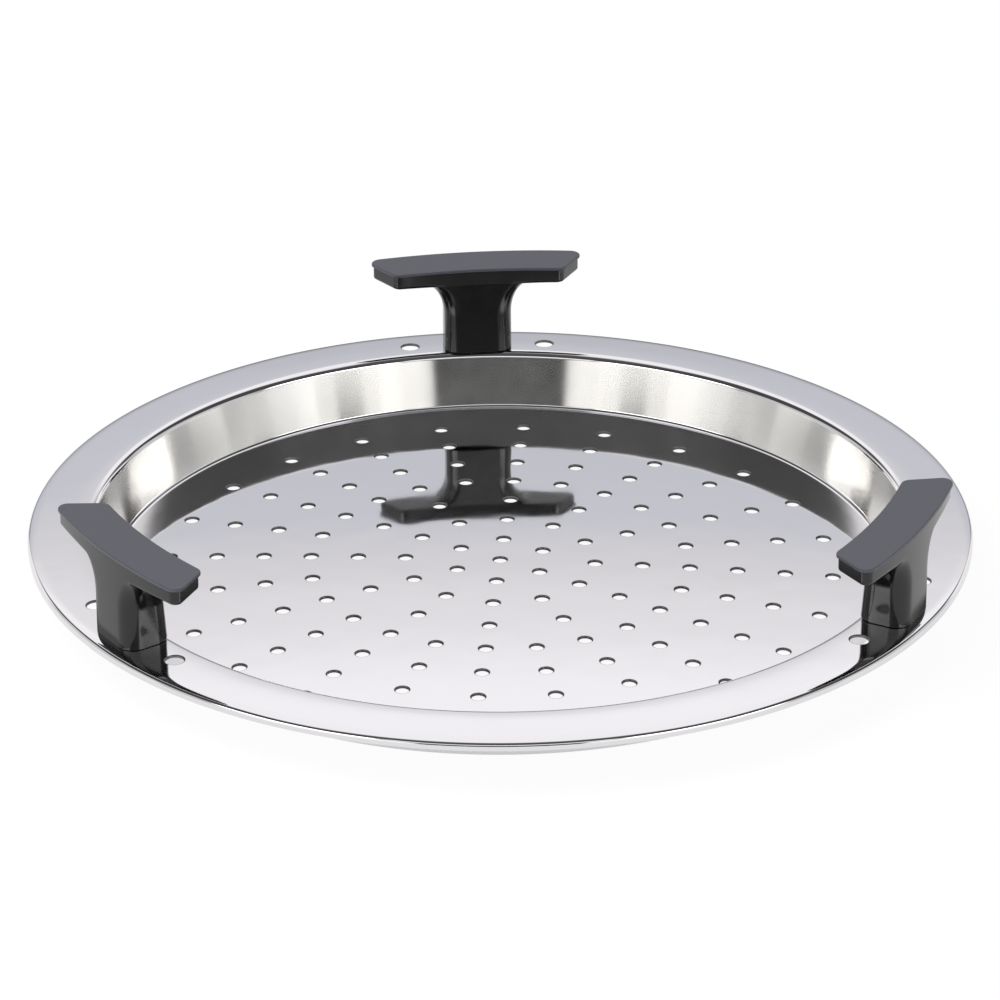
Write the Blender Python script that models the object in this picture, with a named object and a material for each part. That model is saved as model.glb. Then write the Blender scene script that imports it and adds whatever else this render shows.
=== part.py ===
# Perforated steamer plate with three T handles, in metres, +Z up.
# The origin is on the plate's axis, at the level of the flat ring that it rests on.

import math

import bmesh
import bpy
from mathutils import Vector
from mathutils.geometry import delaunay_2d_cdt

MM = 0.001

# The steamer plate: one pressing of stainless sheet
RIM_RADIUS = 140.0 * MM
FLANGE_WIDTH = 18.3 * MM          # from the wall's line to the rim
FLANGE_SLOPE = math.radians(2.5)  # the flange falls towards the rim
WALL_LEAN = 3.2 * MM              # how far the wall spreads from foot to mouth
DISH_DEPTH = 16.7 * MM            # mouth to the floor's top at the foot
SHEET = 0.8 * MM
MOUTH_ROUNDING = 3.2 * MM         # wall into flange, measured on the top surface
FOOT_ROUNDING = 1.8 * MM          # floor into wall, measured on the top surface
LIP_ROUNDING = 1.6 * MM           # flange turned down at the rim
LIP_DROP = 2.5 * MM
FOOT_RING = 3.7 * MM              # flat ring between the crowned floor and the wall's line
CROWN = 3.2 * MM                  # rise of the floor at its centre

# Steam holes in the floor: rings at one pitch, each with 6 holes, doubled as the rings grow
HOLE_DIAMETER = 4.0 * MM
HOLE_RING_PITCH = 14.15 * MM
HOLE_MARGIN = 5.0 * MM            # least metal between a hole and the flat ring
HOLE_TURN = math.radians(25.7)
FIRST_RING_HOLES = 6

# Handles: their places round the rim and how far each sits off square to it
SEAT_FROM_RIM = 11.4 * MM         # screw axis to the rim
HANDLE_AZIMUTHS = {"back": math.radians(93.2), "left": math.radians(215.0), "right": math.radians(331.7)}
HANDLE_TWISTS = {"back": math.radians(3.0), "left": math.radians(-1.4), "right": math.radians(3.2)}
HANDLE_HEIGHT = 28.5 * MM         # flange top to the cap's top

# Vent holes in the flange, one each side of every handle
VENT_DIAMETER = 5.4 * MM
VENT_FROM_RIM = 11.0 * MM
VENT_OFFSET = 21.4 * MM           # along the rim, from the screw axis

# Stem of the T
STEM_WIDTH = 21.3 * MM
STEM_INSIDE = 7.8 * MM            # screw axis to the stem's face towards the dish, at the foot
STEM_OUTSIDE = 7.3 * MM           # screw axis to the stem's outer face, at the foot
STEM_CORNER = 5.2 * MM
FOOT_CHAMFER = 0.4 * MM

# Bar of the T, an arc that is flatter than the rim
BEND_RADIUS = 171.0 * MM          # of a line along the bar through the screw axis
BAR_INSIDE = 6.1 * MM             # screw axis to the bar's inner face
BAR_OUTSIDE = 7.2 * MM
BAR_THICKNESS = 4.3 * MM          # without the cap
BAR_INNER_LENGTH = 52.3 * MM      # along the inner face, before its corners are rounded
BAR_OUTER_LENGTH = 67.8 * MM
BAR_INNER_CORNER = 3.2 * MM
BAR_OUTER_CORNER = 2.0 * MM
BAR_EDGE = 1.0 * MM               # rounding of the wings' lower edges
FILLET_SPREAD = 7.5 * MM          # stem to wing, along the bar
FILLET_DROP = 11.0 * MM           # and down the stem

# Cap on the bar, held by a plug in a recess
CAP_THICKNESS = 0.9 * MM
CAP_OVERHANG = 0.6 * MM
CAP_EDGE = 0.35 * MM
RECESS_WALL = 1.6 * MM
RECESS_DEPTH = 2.0 * MM

# Fixing under each handle: screw, spring washer, plain washer, threaded insert
SCREW_DIAMETER = 4.0 * MM
SCREW_LENGTH = 11.0 * MM
HEAD_DIAMETER = 8.0 * MM
HEAD_HEIGHT = 2.4 * MM
HEAD_EDGE = 1.2 * MM              # height of the head's upright edge
HEAD_SHOULDER = 0.3 * MM          # height of the bevel under the flat end
HEAD_WAIST_DIAMETER = 6.8 * MM    # where the dome meets that bevel
HEAD_FLAT_DIAMETER = 4.8 * MM
SCREW_TIP_BEVEL = 0.5 * MM
CROSS_LENGTH = 4.4 * MM
CROSS_WIDTH = 1.0 * MM
CROSS_DEPTH = 1.5 * MM
WASHER_DIAMETER = 9.0 * MM
WASHER_THICKNESS = 0.8 * MM
SPRING_DIAMETER = 7.4 * MM
SPRING_THICKNESS = 1.0 * MM
SPRING_SPLIT = 0.6 * MM
INSERT_DIAMETER = 7.0 * MM
INSERT_LENGTH = 9.5 * MM
INSERT_GROOVE_WIDTH = 2.0 * MM
INSERT_GROOVE_DEPTH = 0.6 * MM

GAP = 0.3 * MM                    # between pieces that touch
SAME_PLACE = 0.003 * MM           # points nearer than this are one

PLATE_SEGMENTS = 72
SMALL_SEGMENTS = 20
HOLE_SEGMENTS = 10
ROUNDING_STEPS = 3
FILLET_STEPS = 6
EDGE_STEPS = 2
CORNER_STEPS = 4                  # in each corner of the stem's section
WING_CORNER_STEPS = 2             # in each of the bar's; both give the ring the same count

# Places that follow from the sizes
MOUTH_Z = DISH_DEPTH + SHEET
SEAT_RADIUS = RIM_RADIUS - SEAT_FROM_RIM
VENT_RADIUS = RIM_RADIUS - VENT_FROM_RIM
MOUTH_RADIUS = RIM_RADIUS - FLANGE_WIDTH
FOOT_RADIUS = MOUTH_RADIUS - WALL_LEAN
CROWN_RADIUS = FOOT_RADIUS - FOOT_RING
BAR_TOP = HANDLE_HEIGHT - CAP_THICKNESS - GAP
BAR_UNDERSIDE = BAR_TOP - BAR_THICKNESS
SCREW_HOLE_RADIUS = SCREW_DIAMETER / 2 + GAP
INSERT_FOOT = 2 * GAP             # drawn back from the stem's foot
BORE_DEPTH = INSERT_FOOT + INSERT_LENGTH + GAP


def clear_scene():
    for item in list(bpy.data.objects):
        bpy.data.objects.remove(item, do_unlink=True)


def material(name, colour, roughness, metallic):
    made = bpy.data.materials.new(name)
    made.use_nodes = True
    shader = made.node_tree.nodes["Principled BSDF"]
    shader.inputs["Base Color"].default_value = (*colour, 1.0)
    shader.inputs["Roughness"].default_value = roughness
    shader.inputs["Metallic"].default_value = metallic
    return made


def new_object(name, mesh, finish=None):
    made = bpy.data.objects.new(name, mesh)
    bpy.context.scene.collection.objects.link(made)
    if finish is not None and not mesh.materials:
        mesh.materials.append(finish)
    return made


def smooth(mesh, angle=35.0):
    mesh.shade_smooth()
    mesh.set_sharp_from_angle(angle=math.radians(angle))


# Turned pieces

def turned_mesh(name, profile):
    """A closed profile of (radius, z) points, for a Screw modifier to turn about Z."""
    bm = bmesh.new()
    corners = [bm.verts.new((radius, 0.0, z)) for radius, z in profile]
    for first, second in zip(corners, corners[1:] + corners[:1]):
        if first.co.x > 0.0 or second.co.x > 0.0:
            bm.edges.new((first, second))
    mesh = bpy.data.meshes.new(name)
    bm.to_mesh(mesh)
    bm.free()
    return mesh


def turn(piece, segments):
    screw = piece.modifiers.new("turn", "SCREW")
    screw.steps = segments
    screw.render_steps = segments
    screw.use_merge_vertices = True
    screw.merge_threshold = 0.00001
    screw.use_smooth_shade = True


def cut(piece, cutter):
    hidden = piece.modifiers.new("cut_" + cutter.name, "BOOLEAN")
    hidden.operation = "DIFFERENCE"
    hidden.object = cutter


def hide_cutter(cutter):
    cutter.hide_render = True
    cutter.display_type = "WIRE"


def cylinders_cutter(name, places, radius, low, high, segments):
    """Upright cylinders at the given (x, y) places, in one hidden object."""
    bm = bmesh.new()
    for x, y in places:
        made = bmesh.ops.create_cone(
            bm, cap_ends=True, segments=segments, radius1=radius, radius2=radius, depth=high - low)
        bmesh.ops.translate(bm, verts=made["verts"], vec=(x, y, (low + high) / 2))
    mesh = bpy.data.meshes.new(name)
    bm.to_mesh(mesh)
    bm.free()
    cutter = new_object(name, mesh)
    hide_cutter(cutter)
    return cutter


def box_cutter(name, size, centre, turn_z=0.0):
    bm = bmesh.new()
    bmesh.ops.create_cube(bm, size=1.0)
    bmesh.ops.scale(bm, verts=bm.verts, vec=size)
    mesh = bpy.data.meshes.new(name)
    bm.to_mesh(mesh)
    bm.free()
    cutter = new_object(name, mesh)
    cutter.location = centre
    cutter.rotation_euler = (0.0, 0.0, turn_z)
    hide_cutter(cutter)
    return cutter


# Rings of vertices

def add_ring(bm, points, shared=None):
    """New vertices for a ring, with those of the shared ring where the two coincide."""
    ring = []
    for index, point in enumerate(points):
        if shared is not None and (shared[index].co - point).length < SAME_PLACE:
            ring.append(shared[index])
        else:
            ring.append(bm.verts.new(point))
    return ring


def join_rings(bm, lower, upper):
    """Faces between two rings; points that the rings share give triangles or nothing."""
    count = len(lower)
    for index in range(count):
        following = (index + 1) % count
        corners = [lower[index], lower[following], upper[following], upper[index]]
        different = [corner for place, corner in enumerate(corners) if corner not in corners[:place]]
        if len(different) > 2:
            bm.faces.new(different)


# Steamer plate

def rounded_corner(before, corner, after, rounding):
    """Points of the arc that rounds one corner of a profile, from before to after."""
    to_before = (before - corner).normalized()
    to_after = (after - corner).normalized()
    half_angle = to_before.angle(to_after) / 2
    start = corner + to_before * rounding / math.tan(half_angle)
    end = corner + to_after * rounding / math.tan(half_angle)
    centre = corner + (to_before + to_after).normalized() * rounding / math.sin(half_angle)
    points = []
    for step in range(ROUNDING_STEPS + 1):
        share = step / ROUNDING_STEPS
        spoke = (start - centre).lerp(end - centre, share)
        points.append(centre + spoke.normalized() * rounding)
    return points


def crown_height(radius):
    """Height of the floor's top surface over its foot, at a radius inside the crown."""
    return CROWN * (1.0 - (radius / CROWN_RADIUS) ** 2)


def plate_surface():
    """The top surface from the crowned floor's edge out to the lip's end, as (radius, z) points."""
    crown_edge = Vector((CROWN_RADIUS, SHEET))
    foot = Vector((FOOT_RADIUS, SHEET))
    mouth = Vector((MOUTH_RADIUS, MOUTH_Z))
    rim = Vector((RIM_RADIUS, flange_height(RIM_RADIUS)))
    lip_end = Vector((RIM_RADIUS, flange_height(RIM_RADIUS) - LIP_DROP))
    points = [crown_edge]
    points += rounded_corner(crown_edge, foot, mouth, FOOT_ROUNDING)
    points += rounded_corner(foot, mouth, rim, MOUTH_ROUNDING)
    points += rounded_corner(mouth, rim, lip_end, LIP_ROUNDING)
    points.append(lip_end)
    return points


def underside(points):
    """The same line moved one sheet thickness down, square to the surface."""
    moved = []
    for index, point in enumerate(points):
        before = points[max(index - 1, 0)]
        after = points[min(index + 1, len(points) - 1)]
        along_in = (point - before).normalized() if index > 0 else (after - point).normalized()
        along_out = (after - point).normalized() if index < len(points) - 1 else along_in
        along = (along_in + along_out).normalized()
        reach = SHEET / along.dot(along_in)
        moved.append(point + Vector((along.y, -along.x)) * reach)
    return moved


def floor_hole_places():
    """Centres of the floor's holes in rings, without the centre one."""
    places = []
    ring = 1
    while ring * HOLE_RING_PITCH + HOLE_DIAMETER / 2 + HOLE_MARGIN < CROWN_RADIUS:
        count = FIRST_RING_HOLES * 2 ** int(math.log2(ring))
        radius = ring * HOLE_RING_PITCH
        for index in range(count):
            angle = HOLE_TURN + 2 * math.pi * index / count
            places.append((radius * math.cos(angle), radius * math.sin(angle)))
        ring += 1
    return places


def flange_height(radius):
    return MOUTH_Z - (radius - MOUTH_RADIUS) * math.tan(FLANGE_SLOPE)


def around(radius, azimuth):
    return (radius * math.cos(azimuth), radius * math.sin(azimuth))


def circle(x, y, radius, segments):
    angles = [2 * math.pi * index / segments for index in range(segments)]
    return [Vector((x + radius * math.cos(angle), y + radius * math.sin(angle))) for angle in angles]


def floor_loops():
    """The crowned floor in plan: its edge, then one loop for each hole."""
    loops = [circle(0.0, 0.0, CROWN_RADIUS, PLATE_SEGMENTS)]
    for x, y in [(0.0, 0.0)] + floor_hole_places():
        loops.append(circle(x, y, HOLE_DIAMETER / 2, HOLE_SEGMENTS))
    return loops


def floor_triangles(loops):
    """Triangles between the floor's edge and its holes, as numbers of points in the loops."""
    points = []
    edges = []
    loop_of_point = []
    for number, loop in enumerate(loops):
        first = len(points)
        points += loop
        loop_of_point += [number] * len(loop)
        edges += [(first + index, first + (index + 1) % len(loop)) for index in range(len(loop))]
    inside_edge = 1
    made = delaunay_2d_cdt(points, edges, [], inside_edge, SAME_PLACE / 10)
    triangles = []
    for face in made[2]:
        corners = [made[3][corner][0] for corner in face]
        if len({loop_of_point[corner] for corner in corners} - {0}) > 1 or \
                any(loop_of_point[corner] == 0 for corner in corners):
            triangles.append(corners)
    return points, triangles


def add_floor(bm):
    """The perforated floor; returns its edge's vertices on the top and on the underside."""
    loops = floor_loops()
    points, triangles = floor_triangles(loops)
    top = [bm.verts.new((point.x, point.y, SHEET + crown_height(point.length))) for point in points]
    under = [bm.verts.new((point.x, point.y, crown_height(point.length))) for point in points]
    for corners in triangles:
        bm.faces.new([top[corner] for corner in corners])
        bm.faces.new([under[corner] for corner in reversed(corners)])
    first = len(loops[0])
    for loop in loops[1:]:
        numbers = range(first, first + len(loop))
        join_rings(bm, [top[number] for number in numbers], [under[number] for number in numbers])
        first += len(loop)
    edge = len(loops[0])
    return top[:edge], under[:edge]


def make_plate(finish):
    bm = bmesh.new()
    top_edge, under_edge = add_floor(bm)
    surface = plate_surface()
    previous = top_edge
    for point in surface[1:] + underside(surface)[:0:-1]:
        ring = [bm.verts.new((place.x, place.y, point.y))
                for place in circle(0.0, 0.0, point.x, PLATE_SEGMENTS)]
        join_rings(bm, previous, ring)
        previous = ring
    join_rings(bm, previous, under_edge)
    bmesh.ops.recalc_face_normals(bm, faces=bm.faces)
    mesh = bpy.data.meshes.new("steamer_plate")
    bm.to_mesh(mesh)
    bm.free()
    smooth(mesh)
    plate = new_object("steamer_plate", mesh, finish)
    low = -SHEET
    high = MOUTH_Z + SHEET
    vent_turn = VENT_OFFSET / VENT_RADIUS
    vents = [around(VENT_RADIUS, azimuth + side * vent_turn)
             for azimuth in HANDLE_AZIMUTHS.values() for side in (-1, 1)]
    vent_cutter = cylinders_cutter("vents", vents, VENT_DIAMETER / 2, low, high, SMALL_SEGMENTS)
    screws = [around(SEAT_RADIUS, azimuth) for azimuth in HANDLE_AZIMUTHS.values()]
    screw_cutter = cylinders_cutter("screw_holes", screws, SCREW_HOLE_RADIUS, low, high, SMALL_SEGMENTS)
    for cutter in (vent_cutter, screw_cutter):
        cut(plate, cutter)
    return plate


# T handle, upright, with its foot cut to the flange's slope. In its own frame +X points away
# from the dish, Y runs along the rim, and the origin is on the screw axis at the flange's top.

def bend(outward, along, z):
    """A point set out from the screw axis, on an arc about the bar's centre of bending."""
    radius = BEND_RADIUS + outward
    return Vector((math.sqrt(radius ** 2 - along ** 2) - BEND_RADIUS, along, z))


def arc(centre, radius, start, end, steps):
    points = []
    for step in range(steps + 1):
        angle = math.radians(start + (end - start) * step / steps)
        points.append((centre[0] + radius * math.cos(angle), centre[1] + radius * math.sin(angle)))
    return points


def middle_points(outward, half):
    """Points along one long face that the stem and the bar share, for increasing along."""
    return [(outward, half * share) for share in (-1.0, -0.5, 0.0, 0.5, 1.0)]


def stem_side(inner, outer, half_width):
    """One rounded end of the stem's section, from its outer to its inner face."""
    flat = half_width - STEM_CORNER
    outer_corner = arc((outer - STEM_CORNER, flat), STEM_CORNER, 0.0, 90.0, CORNER_STEPS)
    inner_corner = arc((inner + STEM_CORNER, flat), STEM_CORNER, 90.0, 180.0, CORNER_STEPS)
    return outer_corner[1:] + inner_corner[:-1]


def bar_side(inset):
    """One end of the bar's section, from outer to inner face, drawn in by inset(share) metres.

    The share grows from 0 beside the stem to 1 at the wing's end.
    """
    inner = -BAR_INSIDE
    outer = BAR_OUTSIDE
    slant = math.atan2((BAR_OUTER_LENGTH - BAR_INNER_LENGTH) / 2, outer - inner)
    half_outer = BAR_OUTER_LENGTH / 2
    half_inner = BAR_INNER_LENGTH / 2
    root = STEM_WIDTH / 2 + FILLET_SPREAD - STEM_CORNER
    tip = inset(1.0)
    tip_outer = BAR_OUTER_CORNER
    tip_inner = BAR_INNER_CORNER
    outer_along = half_outer - tip_outer * (1.0 + math.sin(slant)) / math.cos(slant)
    inner_along = half_inner - tip_inner * (1.0 - math.sin(slant)) / math.cos(slant)
    slant_degrees = math.degrees(slant)
    outer_arc = arc((outer - tip_outer, outer_along), tip_outer - tip, 0.0, 90.0 + slant_degrees,
                    WING_CORNER_STEPS)
    inner_arc = arc((inner + tip_inner, inner_along), tip_inner - tip, 90.0 + slant_degrees, 180.0,
                    WING_CORNER_STEPS)
    middle = (root + inner_along) / 2
    near = inset(0.5)
    return [(outer - near, middle)] + outer_arc + inner_arc + [(inner + near, middle)]


def section(side, inner, outer, half, z):
    """A whole ring of points: outer face, one end, inner face, the other end."""
    mirrored = [(outward, -along) for outward, along in reversed(side)]
    ring = middle_points(outer, half) + side + middle_points(inner, half)[::-1] + mirrored
    return [bend(outward, along, z) for outward, along in ring]


def bar_section(inset, middle_inset, z):
    half = STEM_WIDTH / 2 + FILLET_SPREAD - STEM_CORNER
    return section(bar_side(inset), middle_inset - BAR_INSIDE, BAR_OUTSIDE - middle_inset, half, z)


def stem_section(z, draw_in=0.0):
    """The stem at a height: it leans out to the bar and spreads into the wings."""
    rise = (z - GAP) / (BAR_UNDERSIDE - GAP)
    inner = -(STEM_INSIDE + (BAR_INSIDE - STEM_INSIDE) * rise) + draw_in
    outer = STEM_OUTSIDE + (BAR_OUTSIDE - STEM_OUTSIDE) * rise - draw_in
    into_fillet = max(0.0, z - (BAR_UNDERSIDE - FILLET_DROP)) / FILLET_DROP
    spread = FILLET_SPREAD * (1.0 - math.sqrt(max(0.0, 1.0 - into_fillet ** 2)))
    half_width = STEM_WIDTH / 2 + spread - draw_in
    return section(stem_side(inner, outer, half_width), inner, outer, half_width - STEM_CORNER, z)


def sloped(points):
    """A ring of the stem lowered to run parallel to the flange."""
    return [point - Vector((0.0, 0.0, point.x * math.tan(FLANGE_SLOPE))) for point in points]


def stacked_mesh(name, rings):
    """A closed body through rings of points, from its lower end to its upper end."""
    bm = bmesh.new()
    previous = add_ring(bm, rings[0])
    bm.faces.new(previous[::-1])
    for points in rings[1:]:
        following = add_ring(bm, points, previous)
        join_rings(bm, previous, following)
        previous = following
    bm.faces.new(previous)
    bmesh.ops.recalc_face_normals(bm, faces=bm.faces)
    mesh = bpy.data.meshes.new(name)
    bm.to_mesh(mesh)
    bm.free()
    smooth(mesh)
    return mesh


def handle_mesh():
    rings = [sloped(stem_section(GAP, FOOT_CHAMFER)), sloped(stem_section(GAP + FOOT_CHAMFER))]
    fillet_start = BAR_UNDERSIDE - FILLET_DROP
    for step in range(FILLET_STEPS + 1):
        climb = math.sin(math.pi / 2 * step / FILLET_STEPS)
        rings.append(stem_section(fillet_start + FILLET_DROP * climb))
    for step in range(EDGE_STEPS + 1):
        angle = math.pi / 2 * step / EDGE_STEPS
        edge = BAR_EDGE * (1.0 - math.sin(angle))
        rise = BAR_EDGE * (1.0 - math.cos(angle))
        rings.append(bar_section(lambda share: edge * share, 0.0, BAR_UNDERSIDE + rise))
    rings.append(bar_section(lambda share: 0.0, 0.0, BAR_TOP))
    for depth in (0.0, RECESS_DEPTH):
        rings.append(bar_section(lambda share: RECESS_WALL, RECESS_WALL, BAR_TOP - depth))
    return stacked_mesh("handle", rings)


def cap_mesh():
    plug = RECESS_WALL + GAP
    underside_z = HANDLE_HEIGHT - CAP_THICKNESS
    rings = [
        bar_section(lambda share: plug, plug, BAR_TOP - RECESS_DEPTH + GAP),
        bar_section(lambda share: plug, plug, underside_z),
        bar_section(lambda share: -CAP_OVERHANG, -CAP_OVERHANG, underside_z),
    ]
    for step in range(EDGE_STEPS + 1):
        angle = math.pi / 2 * step / EDGE_STEPS
        inset = CAP_EDGE * (1.0 - math.cos(angle)) - CAP_OVERHANG
        drop = CAP_EDGE * (1.0 - math.sin(angle))
        rings.append(bar_section(lambda share: inset, inset, HANDLE_HEIGHT - drop))
    return stacked_mesh("handle_cap", rings)


# Fixing parts, set out from the screw axis at the flange's top, downwards

WASHER_TOP = -SHEET - GAP
SPRING_TOP = WASHER_TOP - WASHER_THICKNESS - GAP
HEAD_TOP = SPRING_TOP - SPRING_THICKNESS - GAP


def ring_profile(inner, outer, low, high):
    return [(inner, high), (outer, high), (outer, low), (inner, low)]


def insert_profile():
    inner = SCREW_HOLE_RADIUS
    outer = INSERT_DIAMETER / 2
    low = INSERT_FOOT
    high = low + INSERT_LENGTH
    groove = outer - INSERT_GROOVE_DEPTH
    groove_high = (low + high + INSERT_GROOVE_WIDTH) / 2
    groove_low = (low + high - INSERT_GROOVE_WIDTH) / 2
    return [(inner, high), (outer, high), (outer, groove_high), (groove, groove_high),
            (groove, groove_low), (outer, groove_low), (outer, low), (inner, low)]


def screw_profile():
    shank = SCREW_DIAMETER / 2
    tip = HEAD_TOP + SCREW_LENGTH
    head = HEAD_DIAMETER / 2
    low = HEAD_TOP - HEAD_HEIGHT
    return [(0.0, tip), (shank - SCREW_TIP_BEVEL, tip), (shank, tip - SCREW_TIP_BEVEL),
            (shank, HEAD_TOP), (head, HEAD_TOP), (head, HEAD_TOP - HEAD_EDGE),
            (HEAD_WAIST_DIAMETER / 2, low + HEAD_SHOULDER), (HEAD_FLAT_DIAMETER / 2, low), (0.0, low)]


def make_fixings(side, seat, insert_mesh, washer_mesh, spring_mesh, screw_mesh, finishes):
    """The insert, washers and screw of one handle, square to the flange at its seat."""
    names = (("insert", insert_mesh, "brass"), ("washer", washer_mesh, "steel"),
             ("spring_washer", spring_mesh, "spring_steel"), ("screw", screw_mesh, "steel"))
    made = {}
    for name, mesh, finish in names:
        piece = new_object(f"{side}_handle_{name}", mesh, finishes[finish])
        piece.parent = seat
        turn(piece, SMALL_SEGMENTS)
        made[name] = piece
    spring_middle = SPRING_TOP - SPRING_THICKNESS / 2
    split = box_cutter(f"{side}_split", (SPRING_DIAMETER, SPRING_SPLIT, 3 * SPRING_THICKNESS),
                       (SPRING_DIAMETER / 2, 0.0, spring_middle))
    split.parent = seat
    cut(made["spring_washer"], split)
    for number, angle in enumerate((0.0, math.pi / 2)):
        low = HEAD_TOP - HEAD_HEIGHT
        slot = box_cutter(f"{side}_cross_{number}", (CROSS_LENGTH, CROSS_WIDTH, 2 * CROSS_DEPTH),
                          (0.0, 0.0, low), angle)
        slot.parent = seat
        cut(made["screw"], slot)


def make_handles(finishes):
    body_mesh = handle_mesh()
    cap = cap_mesh()
    insert = turned_mesh("insert", insert_profile())
    washer = turned_mesh("washer", ring_profile(SCREW_HOLE_RADIUS, WASHER_DIAMETER / 2,
                                                WASHER_TOP - WASHER_THICKNESS, WASHER_TOP))
    spring = turned_mesh("spring_washer", ring_profile(SCREW_HOLE_RADIUS, SPRING_DIAMETER / 2,
                                                       SPRING_TOP - SPRING_THICKNESS, SPRING_TOP))
    screw = turned_mesh("screw", screw_profile())
    for side, azimuth in HANDLE_AZIMUTHS.items():
        seat = new_object(f"{side}_seat", None)
        x, y = around(SEAT_RADIUS, azimuth)
        seat.location = (x, y, flange_height(SEAT_RADIUS))
        seat.rotation_euler = (0.0, 0.0, azimuth + HANDLE_TWISTS[side])
        screw_axis = new_object(f"{side}_screw_axis", None)
        screw_axis.parent = seat
        screw_axis.rotation_euler = (0.0, FLANGE_SLOPE, 0.0)
        body = new_object(f"{side}_handle", body_mesh, finishes["phenolic"])
        body.parent = seat
        bore = cylinders_cutter(f"{side}_bore", [(0.0, 0.0)], INSERT_DIAMETER / 2 + GAP,
                                -GAP, BORE_DEPTH, SMALL_SEGMENTS)
        bore.parent = screw_axis
        cut(body, bore)
        top = new_object(f"{side}_handle_cap", cap, finishes["cap"])
        top.parent = seat
        make_fixings(side, screw_axis, insert, washer, spring, screw, finishes)


def main():
    clear_scene()
    finishes = {
        "plate": material("polished_stainless", (0.78, 0.78, 0.79), 0.12, 1.0),
        "phenolic": material("black_phenolic", (0.016, 0.018, 0.018), 0.35, 0.0),
        "cap": material("satin_charcoal_cap", (0.13, 0.13, 0.15), 0.45, 0.0),
        "brass": material("brass", (0.72, 0.52, 0.24), 0.35, 1.0),
        "steel": material("stainless_fixing", (0.62, 0.62, 0.63), 0.3, 1.0),
        "spring_steel": material("spring_steel", (0.45, 0.45, 0.46), 0.4, 1.0),
    }
    make_plate(finishes["plate"])
    make_handles(finishes)
    bpy.context.view_layer.update()


main()
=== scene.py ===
import math

import bmesh
import bpy
from mathutils import Matrix, Vector
from mathutils.geometry import delaunay_2d_cdt


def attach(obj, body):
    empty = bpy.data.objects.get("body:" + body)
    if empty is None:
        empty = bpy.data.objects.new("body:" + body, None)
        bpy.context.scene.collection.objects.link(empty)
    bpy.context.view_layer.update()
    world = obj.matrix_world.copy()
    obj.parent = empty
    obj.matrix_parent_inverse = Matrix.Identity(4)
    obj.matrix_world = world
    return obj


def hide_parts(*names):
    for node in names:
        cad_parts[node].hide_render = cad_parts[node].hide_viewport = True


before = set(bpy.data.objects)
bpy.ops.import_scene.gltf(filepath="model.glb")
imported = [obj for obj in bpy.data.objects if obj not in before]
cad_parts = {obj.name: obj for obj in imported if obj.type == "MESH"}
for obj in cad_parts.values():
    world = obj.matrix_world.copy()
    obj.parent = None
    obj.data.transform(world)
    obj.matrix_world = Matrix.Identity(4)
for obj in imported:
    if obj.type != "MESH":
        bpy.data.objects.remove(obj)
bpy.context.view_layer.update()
print("frame loaded")

millimetres = 1000        # in a metre


def toLinear(code):  # sRGB hex colour to the linear values that the shaders want
    channels = [int(code[place:place + 2], 16) / 255 for place in (1, 3, 5)]
    return tuple(c / 12.92 if c <= 0.04045 else ((c + 0.055) / 1.055) ** 2.4 for c in channels) + (1.0,)


def addNode(tree, kind, settings=None, links=None):  # a setting goes to a socket, or else to the node
    node = tree.nodes.new(kind)
    for name, value in (settings or {}).items():
        if isinstance(name, int) or name in node.inputs:
            node.inputs[name].default_value = value
        else:
            setattr(node, name, value)
    for name, source in (links or {}).items():
        tree.links.new(source, node.inputs[name])
    return node


def fading(span, first, last):  # settings of a smooth step over a span
    return {"interpolation_type": "SMOOTHSTEP", "From Min": span[0], "From Max": span[1],
            "To Min": first, "To Max": last}


def newMaterial(name, colour, metallic, roughness):
    made = bpy.data.materials.new(name)
    made.use_nodes = True
    shader = made.node_tree.nodes["Principled BSDF"]
    shader.inputs["Base Color"].default_value = toLinear(colour)
    shader.inputs["Metallic"].default_value = metallic
    shader.inputs["Roughness"].default_value = roughness
    return made, made.node_tree, shader


# Camera, at the photograph's angle

cameraView = {
    "distance": 1.658,        # metres to the plate's axis at the flange's height
    "elevation": 25.815,      # degrees of the camera's place over the flange
    "aimUp": 0.193,           # degrees that it looks over that point
    "pan": 0.005,
    "roll": -0.178,
    "lens": 201.07,           # millimetres, as the sensor's width is
    "sensor": 36.0,
    "shift": (-0.0005, 0.0005),   # half a pixel each way
    "nearest": 0.05,
    "flangeHeight": 0.0173,
}


def makeCamera(view):
    climb = math.radians(view["elevation"])
    data = bpy.data.cameras.new("camera")
    data.lens = view["lens"]
    data.sensor_width = view["sensor"]
    data.shift_x, data.shift_y = view["shift"]
    data.clip_start = view["nearest"]
    camera = bpy.data.objects.new("camera", data)
    bpy.context.scene.collection.objects.link(camera)
    place = Vector((0.0, -view["distance"] * math.cos(climb),
                    view["distance"] * math.sin(climb) + view["flangeHeight"]))
    pitch = math.radians(view["aimUp"]) - climb
    pan = math.radians(view["pan"])
    forward = Vector((math.sin(pan) * math.cos(pitch), math.cos(pan) * math.cos(pitch), math.sin(pitch)))
    right = forward.cross(Vector((0.0, 0.0, 1.0))).normalized()
    up = right.cross(forward)
    roll = math.radians(view["roll"])
    turnedRight = right * math.cos(roll) + up * math.sin(roll)
    turnedUp = up * math.cos(roll) - right * math.sin(roll)
    axes = Matrix((turnedRight, turnedUp, -forward)).transposed()
    camera.matrix_world = Matrix.Translation(place) @ axes.to_4x4()
    bpy.context.scene.camera = camera


makeCamera(cameraView)
print("camera set")


# Steamer plate: one pressing, in metres, with its holes punched through

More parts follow.
